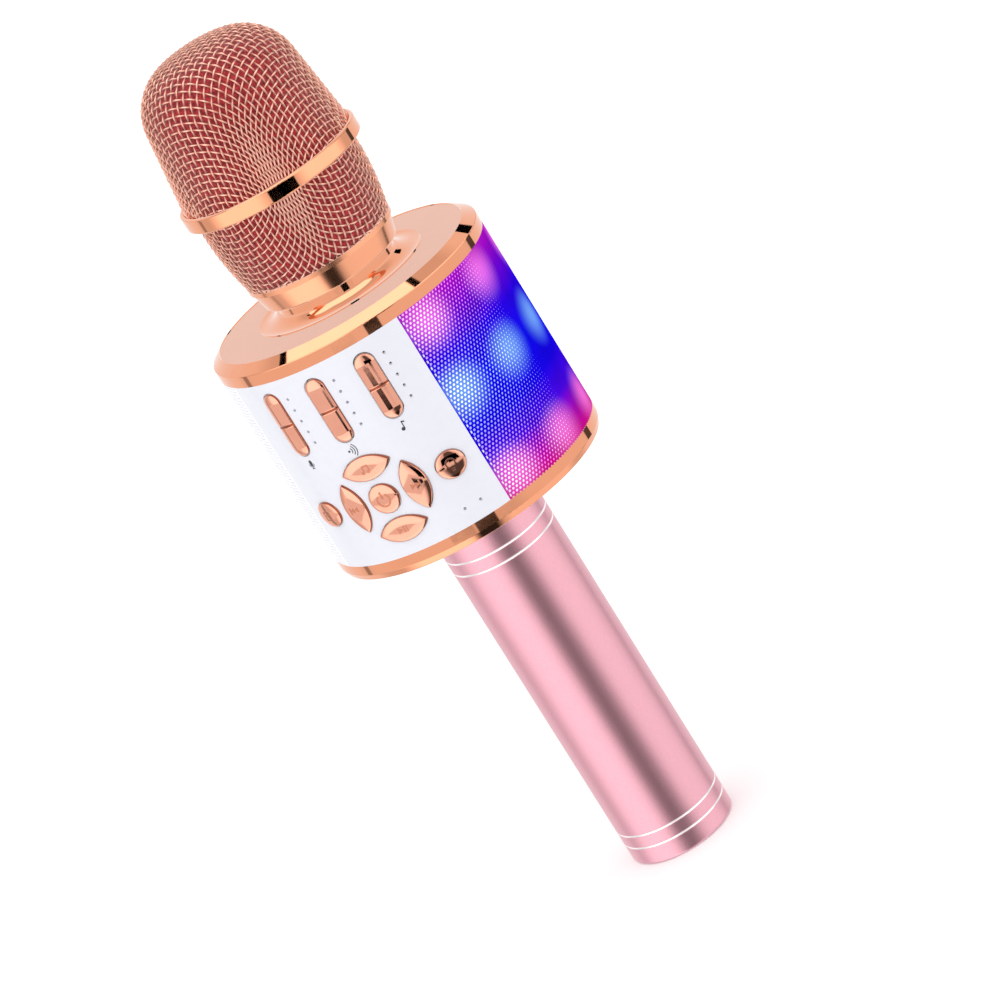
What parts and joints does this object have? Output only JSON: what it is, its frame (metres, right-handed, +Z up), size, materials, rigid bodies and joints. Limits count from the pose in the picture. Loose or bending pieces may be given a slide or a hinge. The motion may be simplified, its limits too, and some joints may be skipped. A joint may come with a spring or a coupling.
{
  "type": "karaoke microphone",
  "caption": "Hand-held karaoke microphone with a built-in lit loudspeaker body, a woven grille head, rocker and push keys, and a straight tube handle.",
  "frame": {"origin": "middle of the flat end of the handle, on the surface it stands on", "axes": "+Z up the handle towards the grille head; the control panel faces -Y; +X to the right of the panel"},
  "size_m": [0.08, 0.0809, 0.2558],
  "materials": {
    "woven_wire": "rose-gold plated woven wire cloth",
    "rose_mirror": "polished rose-gold plating",
    "rose_satin": "satin rose-gold plating",
    "rose_key": "rose-gold plated plastic, polished",
    "red_foam": "open-cell foam",
    "washer_fibre": "matt",
    "capsule_metal": "brushed",
    "black_rubber": "matt",
    "black_plastic": "matt",
    "chassis_plastic": "moulded, matt",
    "screw_steel": "zinc plated",
    "white_panel": "smooth white, slight gloss",
    "punched_sheet": "white coated perforated sheet",
    "diffuser_film": "translucent film lit from behind",
    "led_film": "white film with lamps",
    "clear_guide": "clear moulding",
    "circuit_board": "green solder mask",
    "switch_black": "matt",
    "chip_black": "matt",
    "port_metal": "tin plated",
    "black_steel": "black coated pressed steel",
    "paper_cone": "coated paper",
    "magnet_ferrite": "ferrite",
    "pink_anodised": "blasted and anodised pink",
    "pink_cap": "pink, matt",
    "cell_wrap": "shrink wrap",
    "lead_jacket": "smooth jacket"
  },
  "bodies": {
    "body": {"battery_board": "circuit_board", "battery_carrier": "black_plastic", "battery_cell": "cell_wrap", "battery_lead": "lead_jacket", "board_chips": "chip_black", "board_screws": "screw_steel", "body_screws": "screw_steel", "bottom_cover": "rose_satin", "bottom_trim_ring": "rose_mirror", "capsule": "capsule_metal", "capsule_cup": "black_plastic", "capsule_lead": "lead_jacket", "capsule_mount": "black_rubber", "card_slot": "port_metal", "charge_port": "port_metal", "chassis": "chassis_plastic", "control_board": "circuit_board", "diffuser_left": "diffuser_film", "diffuser_right": "diffuser_film", "end_cap": "pink_cap", "front_panel": "white_panel", "grille_left": "punched_sheet", "grille_right": "punched_sheet", "handle_tube": "pink_anodised", "led_strip_left": "led_film", "led_strip_right": "led_film", "light_guides": "clear_guide", "main_board": "circuit_board", "neck_flange": "rose_mirror", "phone_jack": "black_plastic", "rear_panel": "white_panel", "rocker_cradle": "black_plastic", "speaker_gaskets": "black_rubber", "speaker_leads": "lead_jacket", "speaker_left_cone": "paper_cone", "speaker_left_frame": "black_steel", "speaker_left_magnet": "magnet_ferrite", "speaker_right_cone": "paper_cone", "speaker_right_frame": "black_steel", "speaker_right_magnet": "magnet_ferrite", "tact_switches": "switch_black", "top_cover": "rose_satin", "top_trim_ring": "rose_mirror"},
    "washer": {"thread_washer": "washer_fibre"},
    "head": {"head_collar": "rose_mirror", "grille_basket": "woven_wire", "grille_ring": "rose_mirror", "grille_dome": "woven_wire", "foam_windscreen": "red_foam"},
    "rocker_mic": {"rocker_mic": "rose_key"},
    "rocker_echo": {"rocker_echo": "rose_key"},
    "rocker_music": {"rocker_music": "rose_key"},
    "key_up": {"key_up": "rose_key"},
    "key_down": {"key_down": "rose_key"},
    "key_left": {"key_left": "rose_key"},
    "key_right": {"key_right": "rose_key"},
    "key_power": {"key_power": "rose_key"},
    "key_lamp": {"key_lamp": "rose_key"},
    "key_mode": {"key_mode": "rose_key"}
  },
  "joints": [
    {"name": "head_rise", "type": "slide", "parent": "body", "child": "washer", "axis": [0, 0, 1], "range_m": [0, 0.00375]},
    {"name": "head_turn", "type": "hinge", "parent": "washer", "child": "head", "pos_m": [0, 0, 0.18585], "axis": [0, 0, 1], "range_deg": [0, 1080]},
    {"name": "rocker_mic_tilt", "type": "hinge", "parent": "body", "child": "rocker_mic", "pos_m": [-0.01327, -0.03368, 0.1635], "axis": [0.9304, -0.3665, 0], "range_deg": [-3.5, 3.5], "stiffness_Nm_per_rad": 0.05},
    {"name": "rocker_echo_tilt", "type": "hinge", "parent": "body", "child": "rocker_echo", "pos_m": [0, -0.0362, 0.1635], "axis": [1, 0, 0], "range_deg": [-3.5, 3.5], "stiffness_Nm_per_rad": 0.05},
    {"name": "rocker_music_tilt", "type": "hinge", "parent": "body", "child": "rocker_music", "pos_m": [0.01327, -0.03368, 0.1635], "axis": [0.9304, 0.3665, 0], "range_deg": [-3.5, 3.5], "stiffness_Nm_per_rad": 0.05},
    {"name": "key_up_press", "type": "slide", "parent": "body", "child": "key_up", "axis": [0, 1, 0], "range_m": [0, 0.0006], "stiffness_N_per_m": 600, "springref_m": -0.0005},
    {"name": "key_down_press", "type": "slide", "parent": "body", "child": "key_down", "axis": [0, 1, 0], "range_m": [0, 0.0006], "stiffness_N_per_m": 600, "springref_m": -0.0005},
    {"name": "key_left_press", "type": "slide", "parent": "body", "child": "key_left", "axis": [0.2368, 0.9715, 0], "range_m": [0, 0.0006], "stiffness_N_per_m": 600, "springref_m": -0.0005},
    {"name": "key_right_press", "type": "slide", "parent": "body", "child": "key_right", "axis": [-0.2368, 0.9715, 0], "range_m": [0, 0.0006], "stiffness_N_per_m": 600, "springref_m": -0.0005},
    {"name": "key_power_press", "type": "slide", "parent": "body", "child": "key_power", "axis": [0, 1, 0], "range_m": [0, 0.0006], "stiffness_N_per_m": 600, "springref_m": -0.0005},
    {"name": "key_lamp_press", "type": "slide", "parent": "body", "child": "key_lamp", "axis": [-0.4795, 0.8776, 0], "range_m": [0, 0.0006], "stiffness_N_per_m": 600, "springref_m": -0.0005},
    {"name": "key_mode_press", "type": "slide", "parent": "body", "child": "key_mode", "axis": [0.4795, 0.8776, 0], "range_m": [0, 0.0006], "stiffness_N_per_m": 600, "springref_m": -0.0005}
  ],
  "couplings": [
    {"joint": "head_rise", "follows": "head_turn", "m_per_rad": 0.00019894}
  ]
}
